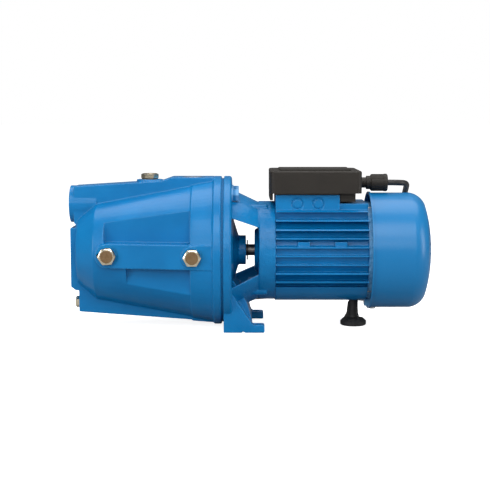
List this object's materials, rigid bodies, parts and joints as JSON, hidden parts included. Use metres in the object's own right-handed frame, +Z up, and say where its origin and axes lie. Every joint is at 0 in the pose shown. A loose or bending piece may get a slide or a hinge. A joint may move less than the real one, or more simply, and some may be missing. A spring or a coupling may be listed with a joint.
{
  "type": "shallow well jet pump",
  "caption": "Self-priming jet pump: cast drum body with suction and delivery ports on a lantern bracket, finned motor, fan cover and terminal box.",
  "frame": {"origin": "on the floor, midway between the two bolt holes in the feet of the lantern bracket", "axes": "+X along the shaft from the pump end to the fan, +Z up, +Y to the side where the mains lead lies"},
  "size_m": [0.4258, 0.3006, 0.188],
  "materials": {
    "blue_paint": "satin, cast",
    "blue_aluminium": "painted die casting",
    "blue_sheet": "satin, smooth sheet",
    "brass": "turned",
    "fibre": "matt",
    "black_plastic": "fine spark texture",
    "moulding": "glass filled moulding",
    "pale_plastic": "moulded",
    "rubber": "matt",
    "steel": "ground",
    "zinc_steel": "zinc plated",
    "laminations": "stacked sheet",
    "cast_aluminium": "die cast",
    "copper": "varnished winding",
    "seal_ceramic": "lapped",
    "seal_carbon": "carbon",
    "capacitor_case": "moulded",
    "cord_black": "satin",
    "pin_nickel": "nickel plated"
  },
  "bodies": {
    "root": {"body_bolt_washers": "blue_paint", "body_bolts": "blue_paint", "body_gasket": "fibre", "cable_coil": "cord_black", "cable_tail": "cord_black", "diffuser": "moulding", "ejector_nozzle": "moulding", "fan_cover": "blue_sheet", "fan_cover_screws": "zinc_steel", "front_bearing_outer_ring": "steel", "gauge_plug_washers": "fibre", "gauge_plugs": "brass", "gland_body": "black_plastic", "gland_nut": "black_plastic", "gland_seal": "rubber", "lantern_bracket": "blue_paint", "mains_cable": "cord_black", "mains_plug": "cord_black", "motor_housing": "blue_aluminium", "nozzle_ring": "rubber", "plug_pins": "pin_nickel", "pump_body": "blue_paint", "rear_bearing_outer_ring": "steel", "rear_end_shield": "blue_aluminium", "run_capacitor": "capacitor_case", "seal_fixed_seat": "seal_ceramic", "stator_core": "laminations", "stator_winding": "copper", "support_foot": "rubber", "support_foot_screw": "zinc_steel", "terminal_block": "pale_plastic", "terminal_box_base": "black_plastic", "terminal_box_gasket": "fibre", "terminal_box_lid": "black_plastic", "terminal_box_lid_screws": "zinc_steel", "tie_rods": "zinc_steel", "venturi_ring": "rubber", "venturi_tube": "moulding", "wave_washer": "steel"},
    "rotor": {"shaft": "steel", "rotor_core": "laminations", "rotor_cage": "cast_aluminium", "impeller": "moulding", "impeller_nut": "steel", "impeller_washer": "steel", "seal_rotating_head": "seal_carbon", "seal_spring": "steel", "slinger_ring": "rubber", "front_bearing_inner_ring": "steel", "rear_bearing_inner_ring": "steel", "fan": "black_plastic", "fan_clip": "steel"},
    "front_ball_set": {"front_bearing_balls": "steel", "front_bearing_cage": "steel"},
    "rear_ball_set": {"rear_bearing_balls": "steel", "rear_bearing_cage": "steel"},
    "priming_plug": {"priming_plug": "brass", "priming_plug_washer": "fibre"},
    "drain_plug": {"drain_plug": "brass", "drain_plug_washer": "fibre"}
  },
  "joints": [
    {"name": "shaft_spin", "type": "hinge", "parent": "root", "child": "rotor", "pos_m": [0, 0, 0.0905], "axis": [1, 0, 0], "continuous": true},
    {"name": "front_balls_spin", "type": "hinge", "parent": "root", "child": "front_ball_set", "pos_m": [0.011, 0, 0.0905], "axis": [1, 0, 0], "continuous": true},
    {"name": "rear_balls_spin", "type": "hinge", "parent": "root", "child": "rear_ball_set", "pos_m": [0.1365, 0, 0.0905], "axis": [1, 0, 0], "continuous": true},
    {"name": "priming_plug_out", "type": "slide", "parent": "root", "child": "priming_plug", "axis": [0, 0, 1], "range_m": [0, 0.03]},
    {"name": "drain_plug_out", "type": "slide", "parent": "root", "child": "drain_plug", "axis": [-1, 0, 0], "range_m": [0, 0.025]}
  ],
  "couplings": [
    {"joint": "front_balls_spin", "follows": "shaft_spin", "ratio": 0.3807},
    {"joint": "rear_balls_spin", "follows": "shaft_spin", "ratio": 0.38}
  ]
}
